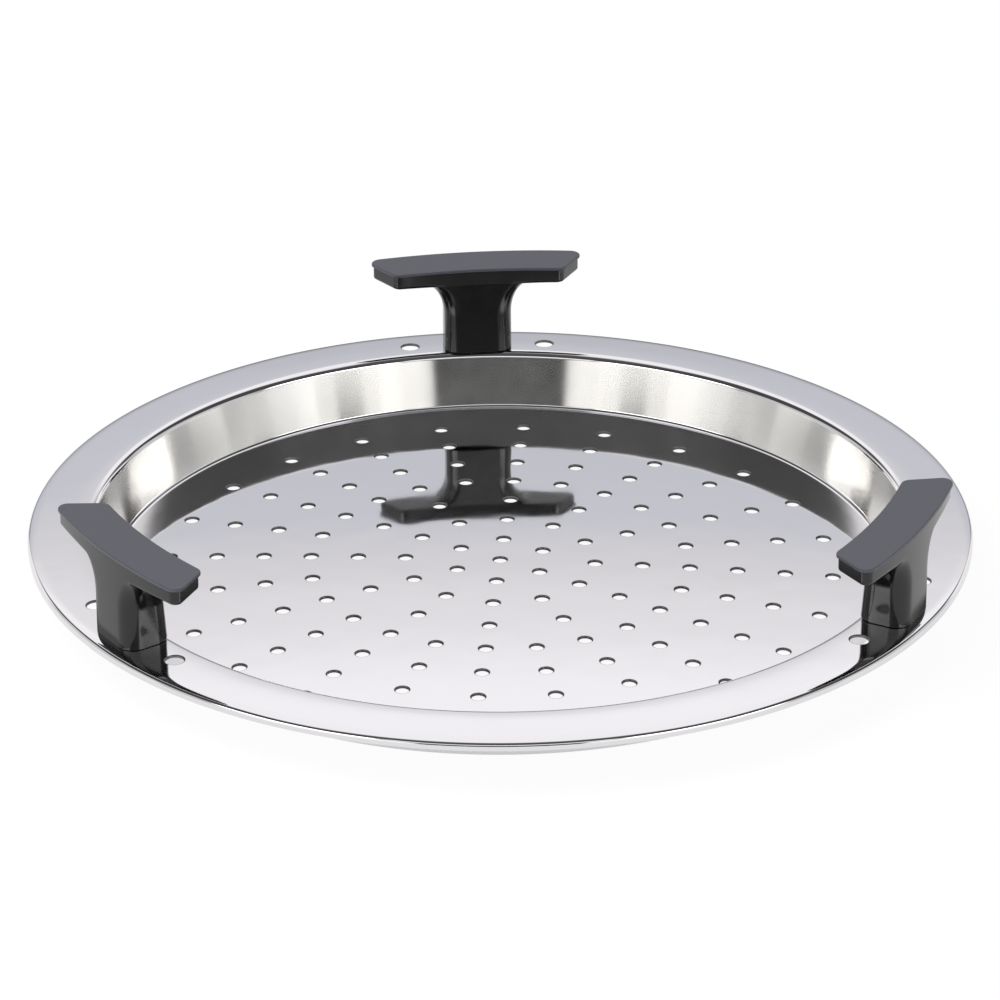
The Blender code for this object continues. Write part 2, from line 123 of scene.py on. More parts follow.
plateShape = {
    "rimRadius": 0.140,
    "flangeWidth": 0.0183,
    "flangeSlope": 2.5,        # degrees that the flange falls towards the rim
    "wallLean": 0.0032,        # of the plain wall, from whose foot the floor's flat ring is measured
    "dishDepth": 0.0167,
    "sheet": 0.0008,
    "mouthRounding": 0.0026,
    "footRounding": 0.0014,
    "wallFoot": 0.1159,        # radius of the wall's line at the floor and at the mouth
    "wallTop": 0.1214,
    "lipRounding": 0.0014,
    "crestRadius": 0.1240,     # the flange is pressed slightly round, highest here
    "innerBow": 0.65,          # degrees per square millimetre that it steepens towards the mouth
    "outerFall": 2.9,          # degrees that it comes to fall towards the rim
    "outerReach": 0.0030,
    "lipStart": 0.1360,        # from here it bends on down into the lip
    "lipBow": 1.2,
    "lipDrop": 0.0025,
    "footRing": 0.0037,
    "crown": 0.0032,
    "edgeRounding": 0.00012,   # of every cut edge
    "punchRounding": 0.0004,   # where a punch drew the top of a hole in
    "segments": 288,
    "roundingSteps": 10,
    "edgeSteps": 3,
    "mouthSearch": (0.1212, 0.1262),   # radii between which the flange's rounded edges begin
    "rimSearch": (0.1368, 0.1399),
    "searchSteps": 40,
    "floorGrid": 0.005,        # spacing of the points inside the floor
    "gridRow": 0.866,          # rows of an even triangle grid lie this share of it apart
    "gridFromEdge": 0.002,
    "gridFromHole": 0.001,
    "flangeRows": 14,
    "rowsFromHole": 0.0008,
    "flangeSeam": 30.0,        # degrees, where the flange is unrolled, clear of every hole
    "weld": 1e-7,              # points closer than this are one
}

steamHoles = {"radius": 0.002, "pitch": 0.01415, "margin": 0.005, "firstRing": 6, "segments": 28,
              "turn": 25.7}    # degrees that every ring is turned
flangeHoles = {"ventRadius": 0.0027, "ventFromRim": 0.0110, "ventOffset": 0.0214,
               "screwRadius": 0.0023, "segments": 36}

handlePlaces = {
    "back": {"azimuth": 93.2, "twist": 3.0},
    "left": {"azimuth": 215.0, "twist": -1.4},
    "right": {"azimuth": 331.7, "twist": 3.2},
}
seatFromRim = 0.0114

mouthRadius = plateShape["rimRadius"] - plateShape["flangeWidth"]
mouthHeight = plateShape["dishDepth"] + plateShape["sheet"]
footRadius = mouthRadius - plateShape["wallLean"]
crownRadius = footRadius - plateShape["footRing"]
seatRadius = plateShape["rimRadius"] - seatFromRim
fall = math.tan(math.radians(plateShape["flangeSlope"]))


def flangeHeight(radius):
    return mouthHeight - (radius - mouthRadius) * fall


def around(radius, degrees):
    return (radius * math.cos(math.radians(degrees)), radius * math.sin(math.radians(degrees)))


def floorLine(radius):  # height and slope of the floor's top
    share = radius / crownRadius
    return (plateShape["sheet"] + plateShape["crown"] * (1.0 - share ** 2),
            -2.0 * plateShape["crown"] * share / crownRadius)


def flangeLine(radius):  # height and slope of the flange's top, a shallow bow through the plain line
    shape = plateShape
    past = (radius - shape["crestRadius"]) * millimetres   # the bow is worked out in millimetres and degrees
    height = 0.0
    if past < 0:
        slope = shape["innerBow"] * past ** 2
        height = shape["innerBow"] * past ** 3 / 3
    else:
        reach = shape["outerReach"] * millimetres
        drop = math.exp(-past / reach)
        bent = max(0.0, (radius - shape["lipStart"]) * millimetres)
        slope = -shape["outerFall"] * (1 - drop) - shape["lipBow"] * bent ** 2
        height = -shape["outerFall"] * (past - reach * (1 - drop)) - shape["lipBow"] * bent ** 3 / 3
    bow = math.radians(height) / millimetres
    return flangeHeight(shape["crestRadius"]) + bow, math.tan(math.radians(slope))


wallSlope = (plateShape["wallTop"] - plateShape["wallFoot"]) / plateShape["dishDepth"]


def edgeArc(end, outward, rounding, steps):  # from the flange's end down to the rim's or the wall's line
    height, slope = flangeLine(end)
    start = math.atan(slope)
    first = -start if outward else start
    facing = 1 if outward else -1
    centre = Vector((end - facing * rounding * math.sin(first), height - rounding * math.cos(first)))
    last = math.pi / 2 if outward else math.pi / 2 - math.atan(wallSlope)
    pairs = []
    for step in range(steps + 1):
        turn = first + (last - first) * step / steps
        spoke = Vector((facing * math.sin(turn), math.cos(turn)))
        pairs.append((centre + spoke * rounding, spoke))
    return pairs


def endOfFlange(outward, rounding):  # where its rounded edge begins, so that it meets the wall or the rim
    low, high = plateShape["rimSearch"] if outward else plateShape["mouthSearch"]
    for _ in range(plateShape["searchSteps"]):
        middle = (low + high) / 2
        point = edgeArc(middle, outward, rounding, 1)[-1][0]
        if outward:
            past = point.x - plateShape["rimRadius"]
        else:
            past = point.x - plateShape["wallFoot"] - (point.y - plateShape["sheet"]) * wallSlope
        low, high = (low, middle) if past > 0 else (middle, high)
    return middle


def newShell():
    return {"points": [], "normals": [], "faces": [], "cutFaces": []}


def addPoint(shell, point, normal):
    shell["points"].append(Vector(point))
    shell["normals"].append(Vector(normal).normalized())
    return len(shell["points"]) - 1


def addStrip(shell, first, second):  # faces between two closed rings of point numbers
    count = len(first)
    for index in range(count):
        after = (index + 1) % count
        shell["faces"].append((first[index], first[after], second[after], second[index]))


def addTurnedRing(shell, radius, height, outward, upward, segments):
    ring = []
    for index in range(segments):
        angle = 2 * math.pi * index / segments
        c, s = math.cos(angle), math.sin(angle)
        ring.append(addPoint(shell, (radius * c, radius * s, height), (outward * c, outward * s, upward)))
    return ring


def roundedCorner(before, corner, after, rounding, steps):  # points of the arc and their spokes
    toBefore = (before - corner).normalized()
    toAfter = (after - corner).normalized()
    half = toBefore.angle(toAfter) / 2
    start = corner + toBefore * rounding / math.tan(half)
    end = corner + toAfter * rounding / math.tan(half)
    centre = corner + (toBefore + toAfter).normalized() * rounding / math.sin(half)
    first = (start - centre).normalized()
    last = (end - centre).normalized()
    sweep = first.angle(last)
    pairs = []
    for step in range(steps + 1):
        share = step / steps
        spoke = (first * math.sin((1 - share) * sweep) + last * math.sin(share * sweep)) / math.sin(sweep)
        pairs.append((centre + spoke * rounding, spoke))
    return pairs


def addHole(shell, centre, radius, segments, line):  # the punched barrel; returns its top and bottom rims
    steps = plateShape["edgeSteps"]
    cuts = ((plateShape["punchRounding"], 0.0, 1), (plateShape["edgeRounding"], -plateShape["sheet"], -1))
    levels = []
    for edge, base, facing in cuts:
        turns = []
        for step in range(steps + 1):
            angle = math.pi / 2 * step / steps
            c, s = math.cos(angle), math.sin(angle)
            turns.append((radius + edge * (1 - s), base - facing * edge * (1 - c), s, facing * c))
        levels += turns[::facing]
    rings = []
    for wide, drop, inward, upward in levels:
        ring = []
        for index in range(segments):
            angle = 2 * math.pi * index / segments
            c, s = math.cos(angle), math.sin(angle)
            x = centre[0] + wide * c
            y = centre[1] + wide * s
            far = math.hypot(x, y)
            height, slope = line(far)
            lean = -slope * upward / far
            normal = (lean * x - inward * c, lean * y - inward * s, upward)
            ring.append(addPoint(shell, (x, y, height + drop), normal))
        rings.append(ring)
    firstFace = len(shell["faces"])
    for upper, lower in zip(rings, rings[1:]):
        addStrip(shell, upper, lower)
    shell["cutFaces"] += range(firstFace, len(shell["faces"]))
    return rings[0], rings[-1]


def fillBetween(loops, extra):  # triangles between a boundary and its holes, as numbers of the flat points
    flat = [Vector(point) for loop in loops for point in loop]
    owner = [number for number, loop in enumerate(loops) for _ in loop] + [-1] * len(extra)
    edges = []
    first = 0
    for loop in loops:
        edges += [(first + index, first + (index + 1) % len(loop)) for index in range(len(loop))]
        first += len(loop)
    insideOnly = 1
    made = delaunay_2d_cdt(flat + extra, edges, [], insideOnly, plateShape["weld"])
    triangles = []
    for face in made[2]:
        corners = [made[3][corner][0] for corner in face]
        owners = {owner[corner] for corner in corners}
        if len(owners) > 1 or -1 in owners or 0 in owners:   # the rest would close a hole
            triangles.append(corners)
    return triangles


def addBothSides(shell, triangles, numbers, lowNumbers):
    for corners in triangles:
        shell["faces"].append([numbers[corner] for corner in corners])
        shell["faces"].append([lowNumbers[corner] for corner in corners])


def steamHolePlaces():
    places = [(0.0, 0.0)]
    ring = 1
    while ring * steamHoles["pitch"] + steamHoles["radius"] + steamHoles["margin"] < crownRadius:
        count = steamHoles["firstRing"] * 2 ** int(math.log2(ring))
        places += [around(ring * steamHoles["pitch"], steamHoles["turn"] + 360 * index / count)
                   for index in range(count)]
        ring += 1
    return places


def addFloor(shell):  # the crowned floor; returns its edge above and below
    segments = plateShape["segments"]
    places = steamHolePlaces()
    height, slope = floorLine(crownRadius)
    topEdge = addTurnedRing(shell, crownRadius, height, -slope / 2, 1.0, segments)
    lowEdge = addTurnedRing(shell, crownRadius, height - plateShape["sheet"], slope / 2, -1.0, segments)
    loops = [topEdge]
    lowLoops = [lowEdge]
    for place in places:
        top, low = addHole(shell, place, steamHoles["radius"], steamHoles["segments"], floorLine)
        loops.append(top)
        lowLoops.append(low)
    extra = []
    grid = plateShape["floorGrid"]
    rows = int(crownRadius / grid) + 1
    for row in range(-rows, rows + 1):
        for column in range(-rows, rows + 1):
            x = (column + 0.5 * (row % 2)) * grid
            y = row * grid * plateShape["gridRow"]
            if math.hypot(x, y) > crownRadius - plateShape["gridFromEdge"]:
                continue
            nearest = min(math.hypot(x - px, y - py) for px, py in places)
            if nearest < steamHoles["radius"] + plateShape["gridFromHole"]:
                continue
            extra.append(Vector((x, y)))
    numbers = [number for loop in loops for number in loop]
    lowNumbers = [number for loop in lowLoops for number in loop]
    flat = [[shell["points"][number].to_2d() for number in loop] for loop in loops]
    for x, y in extra:
        far = math.hypot(x, y)
        height, slope = floorLine(far)
        lean = -slope / far
        numbers.append(addPoint(shell, (x, y, height), (lean * x, lean * y, 1.0)))
        lowNumbers.append(addPoint(shell, (x, y, height - plateShape["sheet"]), (-lean * x, -lean * y, -1.0)))
    addBothSides(shell, fillBetween(flat, extra), numbers, lowNumbers)
    return topEdge, lowEdge


def addFlange(shell, inner, outer):  # the flat of the flange with its holes; returns its four edges
    segments = plateShape["segments"]
    stretch = (inner + outer) / 2
    holes = []
    for place in handlePlaces.values():
        holes.append((around(seatRadius, place["azimuth"]), flangeHoles["screwRadius"]))
        ventRadius = plateShape["rimRadius"] - flangeHoles["ventFromRim"]
        swing = math.degrees(flangeHoles["ventOffset"] / ventRadius)
        for side in (-1, 1):
            holes.append((around(ventRadius, place["azimuth"] + side * swing), flangeHoles["ventRadius"]))
    rims = [addHole(shell, centre, radius, flangeHoles["segments"], flangeLine) for centre, radius in holes]
    rows = []
    steps = plateShape["flangeRows"]
    for step in range(steps + 1):
        radius = inner + (outer - inner) * step / steps
        height, slope = flangeLine(radius)
        top = addTurnedRing(shell, radius, height, -slope, 1.0, segments)
        low = addTurnedRing(shell, radius, height - plateShape["sheet"], slope, -1.0, segments)
        rows.append((radius, top, low))
    turn = 2 * math.pi / segments
    start = round(math.radians(plateShape["flangeSeam"]) / turn)

    def unrolled(point):
        angle = (math.atan2(point[1], point[0]) - start * turn) % (2 * math.pi)
        return Vector((angle * stretch, math.hypot(point[0], point[1])))

    boundary = []
    numbers = []
    lowNumbers = []
    for radius, top, low in (rows[0], rows[-1]):
        line = [(Vector((index * turn * stretch, radius)), top[(start + index) % segments],
                 low[(start + index) % segments]) for index in range(segments + 1)]
        if radius == rows[-1][0]:
            line.reverse()
        for point, topNumber, lowNumber in line:
            boundary.append(point)
            numbers.append(topNumber)
            lowNumbers.append(lowNumber)
    flat = [boundary]
    for top, low in rims:
        flat.append([unrolled(shell["points"][number]) for number in top])
        numbers += top
        lowNumbers += low
    extra = []
    for radius, top, low in rows[1:-1]:
        for index in range(1, segments):
            place = (start + index) % segments
            x, y = shell["points"][top[place]].to_2d()
            nearest = min(math.hypot(x - centre[0], y - centre[1]) - hole for centre, hole in holes)
            if nearest < plateShape["rowsFromHole"]:
                continue
            extra.append(Vector((index * turn * stretch, radius)))
            numbers.append(top[place])
            lowNumbers.append(low[place])
    # the seam's inner points lie on both ends of the unrolled strip
    for radius, top, low in rows[1:-1]:
        for index in (0, segments):
            extra.append(Vector((index * turn * stretch, radius)))
            numbers.append(top[start])
            lowNumbers.append(low[start])
    addBothSides(shell, fillBetween(flat, extra), numbers, lowNumbers)
    return rows[0][1], rows[0][2], rows[-1][1], rows[-1][2]


def facedOut(shell, face):  # the face's corners in the order that turns it the way its normals point
    points = [shell["points"][number] for number in face]
    across = (points[1] - points[0]).cross(points[2] - points[0])
    if len(face) == 4:
        across += (points[2] - points[0]).cross(points[3] - points[0])
    outward = sum((shell["normals"][number] for number in face), Vector())
    return face if across.dot(outward) > 0 else tuple(reversed(face))


def makePlate(sheetMetal, wallMetal, cutMetal):
    shell = newShell()
    shape = plateShape
    segments = shape["segments"]
    topEdge, lowEdge = addFloor(shell)
    crownEdge = Vector((crownRadius, shape["sheet"]))
    foot = Vector((shape["wallFoot"], shape["sheet"]))
    mouth = Vector((shape["wallTop"], mouthHeight))
    rim = Vector((shape["rimRadius"], flangeHeight(shape["rimRadius"])))
    lipEnd = Vector((shape["rimRadius"], rim.y - shape["lipDrop"]))
    steps = shape["roundingSteps"]
    footPoints = roundedCorner(crownEdge, foot, mouth, shape["footRounding"], steps)
    footArc = [(point, -spoke) for point, spoke in footPoints]
    mouthStart = endOfFlange(False, shape["mouthRounding"])
    mouthArc = edgeArc(mouthStart, False, shape["mouthRounding"], steps)[::-1]
    lipArc = edgeArc(endOfFlange(True, shape["lipRounding"]), True, shape["lipRounding"], steps)
    flangeEdges = addFlange(shell, mouthArc[-1][0].x, lipArc[0][0].x)
    flangeTopIn, flangeLowIn, flangeTopOut, flangeLowOut = flangeEdges

    def runOf(pairs, depth, facing):
        rings = []
        for point, normal in pairs:
            moved = point - normal * depth
            facingOut = normal * facing
            rings.append(addTurnedRing(shell, moved.x, moved.y, facingOut.x, facingOut.y, segments))
        return rings

    inner = footArc + mouthArc[:-1]
    top = [topEdge] + runOf(inner, 0.0, 1) + [flangeTopIn]
    low = [lowEdge] + runOf(inner, shape["sheet"], -1) + [flangeLowIn]
    wallStart = len(shell["faces"]) + len(footArc) * segments   # the wall is the strip after the foot's arc
    for first, second in list(zip(top, top[1:])) + list(zip(low, low[1:])):
        addStrip(shell, first, second)
    edge = shape["edgeRounding"]
    outer = lipArc[1:] + [(lipEnd + Vector((0.0, edge)), Vector((1.0, 0.0)))]
    outerTop = [flangeTopOut] + runOf(outer, 0.0, 1)
    outerLow = [flangeLowOut] + runOf(outer, shape["sheet"], -1)
    endRings = []
    edgeSteps = shape["edgeSteps"]
    inside = lipEnd.x - shape["sheet"]
    for step in range(1, edgeSteps + 1):
        angle = math.pi / 2 * step / edgeSteps
        c, s = math.cos(angle), math.sin(angle)
        radius = lipEnd.x - edge * (1 - c)
        endRings.append(addTurnedRing(shell, radius, lipEnd.y + edge * (1 - s), c, -s, segments))
    for step in range(edgeSteps):
        angle = math.pi / 2 * step / edgeSteps
        c, s = math.cos(angle), math.sin(angle)
        radius = inside + edge * (1 - s)
        endRings.append(addTurnedRing(shell, radius, lipEnd.y + edge * (1 - c), -s, -c, segments))
    for first, second in zip(outerTop + endRings, (outerTop + endRings)[1:]):
        addStrip(shell, first, second)
    for first, second in zip(outerLow, outerLow[1:]):
        addStrip(shell, first, second)
    addStrip(shell, endRings[-1], outerLow[-1])
    mesh = bpy.data.meshes.new("steamerPlate")
    used = sorted({number for face in shell["faces"] for number in face})
    place = {number: index for index, number in enumerate(used)}
    mesh.from_pydata([shell["points"][number] for number in used], [],
                     [[place[number] for number in facedOut(shell, face)] for face in shell["faces"]])
    mesh.shade_smooth()
    mesh.normals_split_custom_set_from_vertices([shell["normals"][number] for number in used])
    for metal in (sheetMetal, wallMetal, cutMetal):
        mesh.materials.append(metal)
    for index in range(wallStart, wallStart + segments):
        mesh.polygons[index].material_index = 1
    # the cut faces round every hole take the metal whose dark colour is painted shade
    for index in shell["cutFaces"]:
        mesh.polygons[index].material_index = 2
    plate = bpy.data.objects.new("pressedPlate", mesh)
    bpy.context.scene.collection.objects.link(plate)
    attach(plate, "root")
    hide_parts("steamer_plate")
    return plate


# What the surfaces share: a fine relief, and patches where the shine differs

noiseSpan = (0.3, 0.7)         # most of a noise texture's values lie between these


def addRelief(tree, shader, size, depth, detail, strength):  # size in millimetres, depth in metres
    place = addNode(tree, "ShaderNodeTexCoord")
    noise = addNode(tree, "ShaderNodeTexNoise", {"Scale": millimetres / size, "Detail": detail},
                    {"Vector": place.outputs["Object"]})
    bump = addNode(tree, "ShaderNodeBump", {"Strength": strength, "Distance": depth},
                   {"Height": noise.outputs["Fac"]})
    tree.links.new(bump.outputs["Normal"], shader.inputs["Normal"])


def addClouds(tree, shader, size, glossiest, dullest):  # size in millimetres
    place = addNode(tree, "ShaderNodeTexCoord")
    noise = addNode(tree, "ShaderNodeTexNoise", {"Scale": millimetres / size, "Detail": 3.0},
                    {"Vector": place.outputs["Object"]})
    span = addNode(tree, "ShaderNodeMapRange", {"From Min": noiseSpan[0], "From Max": noiseSpan[1],
                                                "To Min": glossiest, "To Max": dullest},
                   {"Value": noise.outputs["Fac"]})
    tree.links.new(span.outputs["Result"], shader.inputs["Roughness"])


# Polished stainless: cold-rolled sheet, pressed, then buffed. The eye gets a soft-edged mirror with
# a faint waviness from the pressing and slightly duller clouds where the buffing was lighter. The wall
# is duller and buffed round and round, so that what it mirrors smears up and down.

stainlessFinish = {"colour": "#dcdbdd", "roughness": 0.055, "spread": 0.015, "cloudSize": 18.0,
                   "waveSize": 14.0, "wave": 0.00004}
wallFinish = {"colour": "#e2e1df", "roughness": 0.14, "spread": 0.01, "cloudSize": 9.0,
              "waveSize": 14.0, "wave": 0.00001, "anisotropic": 0.95, "turn": 0.25}


def polishedStainless(name, finish):
    roughness = finish["roughness"]
    made, tree, shader = newMaterial(name, finish["colour"], 1.0, roughness)
    addClouds(tree, shader, finish["cloudSize"], roughness - finish["spread"], roughness + finish["spread"])
    addRelief(tree, shader, finish["waveSize"], finish["wave"], detail=1.0, strength=1.0)
    if "anisotropic" in finish:
        shader.inputs["Anisotropic"].default_value = finish["anisotropic"]
        shader.inputs["Anisotropic Rotation"].default_value = finish["turn"]
        buffing = addNode(tree, "ShaderNodeTangent", {"direction_type": "RADIAL", "axis": "Z"})
        tree.links.new(buffing.outputs["Tangent"], shader.inputs["Tangent"])
    return made


# Punched edges: sheared steel that the buffing wheel doesn't reach, really duller, with a dark grey colour
# that is painted shade for the shadowed floor each hole's barrel mirrors.
# The eye gets a thin dull grey line, partly painted shade, on the far side of every hole. The torn grain is
# drawn coarser than the real one.

# the colour is painted shade, far darker than sheared steel, standing in for the shade seen inside the holes;
# the roughness is the edge's own
cutFinishAndPaintedShade = {"colour": "#7a7a7e", "roughness": 0.42, "tear": 0.15, "tearDepth": 0.00001}


def shadedShearedSteel():
    made, tree, shader = newMaterial("shearedEdgePaintedShade", cutFinishAndPaintedShade["colour"], 1.0, cutFinishAndPaintedShade["roughness"])
    addRelief(tree, shader, cutFinishAndPaintedShade["tear"], cutFinishAndPaintedShade["tearDepth"], detail=2.0, strength=0.5)
    return made


makePlate(polishedStainless("polishedStainlessSteel", stainlessFinish),
          polishedStainless("buffedStainlessWall", wallFinish), shadedShearedSteel())
print("steamer plate made")


# T handle: moulded body with its cap, drawn in its own frame, +X away from the dish

stemShape = {"width": 0.0213, "inside": 0.0078, "outside": 0.0073, "corner": 0.0052, "footChamfer": 0.0003,
             "footSeam": 0.00005}      # closer than the CAD's, as the flange bows a little under the foot
barShape = {
    "height": 0.0285,          # flange to the cap's top
    "bendRadius": 0.171,
    "inside": 0.0061,
    "outside": 0.0072,
    "thickness": 0.0043,
    "innerLength": 0.0523,
    "outerLength": 0.0678,
    "innerCorner": 0.0032,
    "outerCorner": 0.0020,
    "edge": 0.0010,
    "filletSpread": 0.0075,
    "filletDrop": 0.0110,
}
capShape = {"thickness": 0.0009, "overhang": 0.0006, "edge": 0.00035, "recessWall": 0.0016,
            "recessDepth": 0.0020}
handleFineness = {"wingCorner": 7, "wingFace": 4, "fillet": 20, "edge": 5, "foot": 3, "middle": 8,
                  "weld": 0.000003, "sharpFrom": 32.0}   # degrees from which an edge stays sharp
handleGap = 0.0003
boreSize = {"radius": 0.0038, "depth": 0.0104, "segments": 40}

barTop = barShape["height"] - capShape["thickness"] - handleGap
barUnderside = barTop - barShape["thickness"]


def bend(outward, along, height):
    radius = barShape["bendRadius"] + outward
    return Vector((math.sqrt(radius ** 2 - along ** 2) - barShape["bendRadius"], along, height))


def arcPoints(centre, radius, start, end, steps):
    return [(centre[0] + radius * math.cos(math.radians(start + (end - start) * step / steps)),
             centre[1] + radius * math.sin(math.radians(start + (end - start) * step / steps)))
            for step in range(steps + 1)]


def stemSide(inner, outer, halfWidth):
    corner = stemShape["corner"]
    steps = handleFineness["wingCorner"] + 1 + handleFineness["wingFace"]
    flat = halfWidth - corner
    outerCorner = arcPoints((outer - corner, flat), corner, 0.0, 90.0, steps)
    innerCorner = arcPoints((inner + corner, flat), corner, 90.0, 180.0, steps)
    return outerCorner[1:] + innerCorner[:-1]


def barSide(inset):
    inner = -barShape["inside"]
    outer = barShape["outside"]
    slant = math.atan2((barShape["outerLength"] - barShape["innerLength"]) / 2, outer - inner)
    root = stemShape["width"] / 2 + barShape["filletSpread"] - stemShape["corner"]
    tip = inset(1.0)
    tipOuter = barShape["outerCorner"]
    tipInner = barShape["innerCorner"]
    outerAlong = barShape["outerLength"] / 2 - tipOuter * (1.0 + math.sin(slant)) / math.cos(slant)
    innerAlong = barShape["innerLength"] / 2 - tipInner * (1.0 - math.sin(slant)) / math.cos(slant)
    turn = 90.0 + math.degrees(slant)
    steps = handleFineness["wingCorner"]
    outerArc = arcPoints((outer - tipOuter, outerAlong), tipOuter - tip, 0.0, turn, steps)
    innerArc = arcPoints((inner + tipInner, innerAlong), tipInner - tip, turn, 180.0, steps)
    faces = handleFineness["wingFace"]
    outerFace = []
    innerFace = []
    for step in range(1, faces + 1):
        share = step / (faces + 1)
        outerFace.append((outer - inset(share), root + (outerAlong - root) * share))
        innerFace.append((inner + inset(1.0 - share), innerAlong + (root - innerAlong) * share))
    return outerFace + outerArc + innerArc + innerFace


def wholeSection(side, inner, outer, half, height):
    count = handleFineness["middle"]
    shares = [2 * step / count - 1 for step in range(count + 1)]
    mirrored = [(outward, -along) for outward, along in reversed(side)]
    outerFace = [(outer, half * share) for share in shares]
    innerFace = [(inner, half * share) for share in reversed(shares)]
    return [bend(outward, along, height) for outward, along in outerFace + side + innerFace + mirrored]


def barSection(inset, middleInset, height):
    half = stemShape["width"] / 2 + barShape["filletSpread"] - stemShape["corner"]
    inner = middleInset - barShape["inside"]
    outer = barShape["outside"] - middleInset
    return wholeSection(barSide(inset), inner, outer, half, height)


def stemSection(height, drawIn=0.0):
    rise = (height - handleGap) / (barUnderside - handleGap)
    inner = -(stemShape["inside"] + (barShape["inside"] - stemShape["inside"]) * rise) + drawIn
    outer = stemShape["outside"] + (barShape["outside"] - stemShape["outside"]) * rise - drawIn
    into = max(0.0, height - (barUnderside - barShape["filletDrop"])) / barShape["filletDrop"]
    spread = barShape["filletSpread"] * (1.0 - math.sqrt(max(0.0, 1.0 - into ** 2)))
    half = stemShape["width"] / 2 + spread - drawIn
    return wholeSection(stemSide(inner, outer, half), inner, outer, half - stemShape["corner"], height)


def sloped(points):
    return [point - Vector((0.0, 0.0, point.x * fall)) for point in points]


def stackedMesh(name, rings):
    bm = bmesh.new()
    previous = [bm.verts.new(point) for point in rings[0]]
    bm.faces.new(previous[::-1])
    for points in rings[1:]:
        following = []
        for vertex, point in zip(previous, points):
            same = (vertex.co - point).length < handleFineness["weld"]
            following.append(vertex if same else bm.verts.new(point))
        for index in range(len(previous)):
            after = (index + 1) % len(previous)
            corners = [previous[index], previous[after], following[after], following[index]]
            different = [corner for place, corner in enumerate(corners) if corner not in corners[:place]]
            if len(different) > 2:
                bm.faces.new(different)
        previous = following
    bm.faces.new(previous)
    bmesh.ops.recalc_face_normals(bm, faces=bm.faces)
    mesh = bpy.data.meshes.new(name)
    bm.to_mesh(mesh)
    bm.free()
    return mesh


def bodyMesh():
    foot = stemShape["footChamfer"]
    rings = []
    steps = handleFineness["foot"]
    for step in range(steps + 1):
        angle = math.pi / 2 * step / steps
        height = stemShape["footSeam"] + foot * (1 - math.cos(angle))
        rings.append(sloped(stemSection(height, foot * (1 - math.sin(angle)))))
    filletStart = barUnderside - barShape["filletDrop"]
    steps = handleFineness["fillet"]
    for step in range(steps + 1):
        climb = math.sin(math.pi / 2 * step / steps)
        rings.append(stemSection(filletStart + barShape["filletDrop"] * climb))
    steps = handleFineness["edge"]
    for step in range(steps + 1):
        angle = math.pi / 2 * step / steps
        edge = barShape["edge"] * (1.0 - math.sin(angle))
        rise = barShape["edge"] * (1.0 - math.cos(angle))
        rings.append(barSection(lambda share: edge * share, 0.0, barUnderside + rise))
    wall = capShape["recessWall"]
    rings.append(barSection(lambda share: 0.0, 0.0, barTop))
    rings.append(barSection(lambda share: wall, wall, barTop))
    rings.append(barSection(lambda share: wall, wall, barTop - capShape["recessDepth"]))
    return stackedMesh("handleBody", rings)


def capMesh():
    plug = capShape["recessWall"] + handleGap
    over = -capShape["overhang"]
    underside = barShape["height"] - capShape["thickness"]
    rings = [
        barSection(lambda share: plug, plug, barTop - capShape["recessDepth"] + handleGap),
        barSection(lambda share: plug, plug, underside),
        barSection(lambda share: over, over, underside),
    ]
    steps = handleFineness["edge"]
    for step in range(steps + 1):
        angle = math.pi / 2 * step / steps
        inset = capShape["edge"] * (1.0 - math.cos(angle)) + over
        drop = capShape["edge"] * (1.0 - math.sin(angle))
        rings.append(barSection(lambda share: inset, inset, barShape["height"] - drop))
    return stackedMesh("handleCap", rings)


def withBore(mesh):  # the socket that the brass insert sits in, square to the flange
    body = bpy.data.objects.new("boredBody", mesh)
    bm = bmesh.new()
    depth = boreSize["depth"] + handleGap
    bmesh.ops.create_cone(bm, cap_ends=True, segments=boreSize["segments"], radius1=boreSize["radius"],
                          radius2=boreSize["radius"], depth=depth)
    bmesh.ops.translate(bm, verts=bm.verts, vec=(0.0, 0.0, depth / 2 - handleGap))
    bmesh.ops.rotate(bm, verts=bm.verts, cent=(0.0, 0.0, 0.0),
                     matrix=Matrix.Rotation(math.radians(plateShape["flangeSlope"]), 3, "Y"))
    drillMesh = bpy.data.meshes.new("drill")
    bm.to_mesh(drillMesh)
    bm.free()
    drill = bpy.data.objects.new("drill", drillMesh)
    for item in (body, drill):
        bpy.context.scene.collection.objects.link(item)
    bore = body.modifiers.new("bore", "BOOLEAN")
    bore.operation = "DIFFERENCE"
    bore.object = drill
    bpy.context.view_layer.update()
    bored = bpy.data.meshes.new_from_object(body.evaluated_get(bpy.context.evaluated_depsgraph_get()))
    for item in (body, drill):
        bpy.data.objects.remove(item, do_unlink=True)
    return bored


def finishMesh(mesh, finish):
    mesh.shade_smooth()
    mesh.set_sharp_from_angle(angle=math.radians(handleFineness["sharpFrom"]))
    mesh.materials.clear()
    mesh.materials.append(finish)


# Phenolic: compression-moulded thermoset with wood-flour filler. The eye gets a near-black, half-gloss
# skin whose shine is broken by a fine grain, drawn coarser than the real filler so that it shows.

phenolicFinish = {"colour": "#0b0c0c", "roughness": 0.15, "glossier": 0.03, "duller": 0.04, "cloudSize": 6.0,
                  "grain": 0.35, "grainDepth": 0.000003, "ior": 1.5}


def mouldedPhenolic():
    finish = phenolicFinish
    roughness = finish["roughness"]
    made, tree, shader = newMaterial("mouldedPhenolic", finish["colour"], 0.0, roughness)
    shader.inputs["IOR"].default_value = finish["ior"]
    addRelief(tree, shader, finish["grain"], finish["grainDepth"], detail=2.0, strength=0.6)
    addClouds(tree, shader, finish["cloudSize"], roughness - finish["glossier"], roughness + finish["duller"])
    return made


# Cap: injection-moulded nylon with a spark-eroded texture. The eye gets an even satin grey with a
# slightly violet cast and no clear reflections. The texture is drawn coarser than the real one.

capFinish = {"colour": "#43444d", "roughness": 0.45, "grain": 0.25, "grainDepth": 0.00001, "ior": 1.53}


